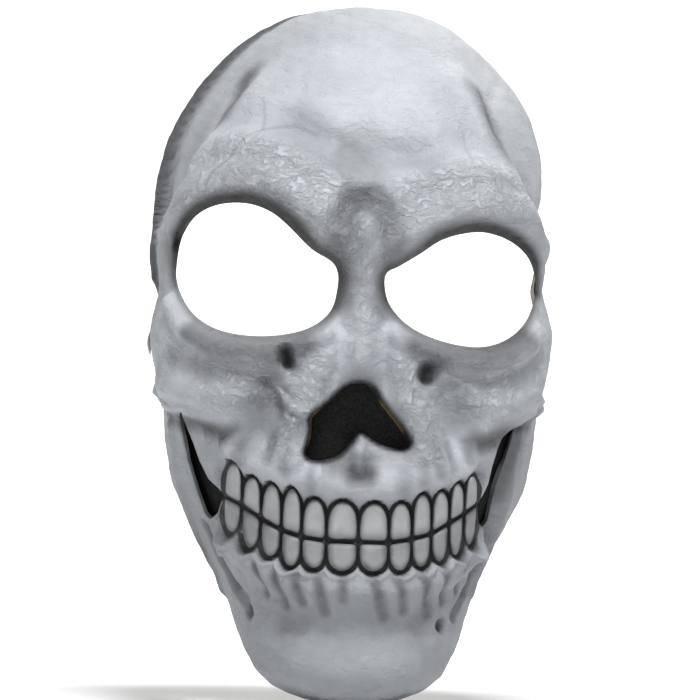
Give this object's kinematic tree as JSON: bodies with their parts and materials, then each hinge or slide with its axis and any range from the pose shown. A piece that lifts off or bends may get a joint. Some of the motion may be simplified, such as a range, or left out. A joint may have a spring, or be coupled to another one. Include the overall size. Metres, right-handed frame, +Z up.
{
  "type": "latex skull face mask",
  "caption": "Open-backed moulded latex skull mask with large eye holes, a flexing toothed lower jaw, dark gauze behind nose and mouth, and an elastic nape strap.",
  "frame": {"origin": "centre of the wearer's head at eye height, on the mask's middle plane, inside the open back", "axes": "+Z up along the face, +X towards the wearer's left ear, the face looks along -Y"},
  "size_m": [0.1804, 0.2139, 0.3084],
  "materials": {
    "latex": "matt cool grey-white latex, airbrushed darker in the hollows",
    "tooth_latex": "matt off-white latex with black lines between the teeth",
    "black_gauze": "thin black stretch gauze",
    "elastic_webbing": "black ribbed elastic webbing",
    "patch_cloth": "dark woven cloth glued to the latex",
    "rivet_metal": "black lacquered steel"
  },
  "bodies": {
    "face": {"skull_skin": "latex", "upper_tooth_right_1": "tooth_latex", "upper_tooth_right_2": "tooth_latex", "upper_tooth_right_3": "tooth_latex", "upper_tooth_right_4": "tooth_latex", "upper_tooth_right_5": "tooth_latex", "upper_tooth_right_6": "tooth_latex", "upper_tooth_left_1": "tooth_latex", "upper_tooth_left_2": "tooth_latex", "upper_tooth_left_3": "tooth_latex", "upper_tooth_left_4": "tooth_latex", "upper_tooth_left_5": "tooth_latex", "upper_tooth_left_6": "tooth_latex", "nose_gauze": "black_gauze", "mouth_gauze": "black_gauze", "strap_patch_right": "patch_cloth", "rivet_cap_right": "rivet_metal", "rivet_post_right": "rivet_metal", "strap_patch_left": "patch_cloth", "rivet_cap_left": "rivet_metal", "rivet_post_left": "rivet_metal"},
    "jaw": {"jaw_skin": "latex", "lower_tooth_right_1": "tooth_latex", "lower_tooth_right_2": "tooth_latex", "lower_tooth_right_3": "tooth_latex", "lower_tooth_right_4": "tooth_latex", "lower_tooth_right_5": "tooth_latex", "lower_tooth_right_6": "tooth_latex", "lower_tooth_left_1": "tooth_latex", "lower_tooth_left_2": "tooth_latex", "lower_tooth_left_3": "tooth_latex", "lower_tooth_left_4": "tooth_latex", "lower_tooth_left_5": "tooth_latex", "lower_tooth_left_6": "tooth_latex"},
    "strap": {"nape_strap": "elastic_webbing"}
  },
  "joints": [
    {"name": "jaw_open", "type": "hinge", "parent": "face", "child": "jaw", "pos_m": [0, -0.01, -0.048], "axis": [1, 0, 0], "range_deg": [0, 10], "stiffness_Nm_per_rad": 0.5, "springref_deg": -11.46, "deforming": ["mouth_gauze"]},
    {"name": "strap_swing", "type": "hinge", "parent": "face", "child": "strap", "pos_m": [0, -0.014, -0.03], "axis": [1, 0, 0], "range_deg": [-18, 60]}
  ]
}
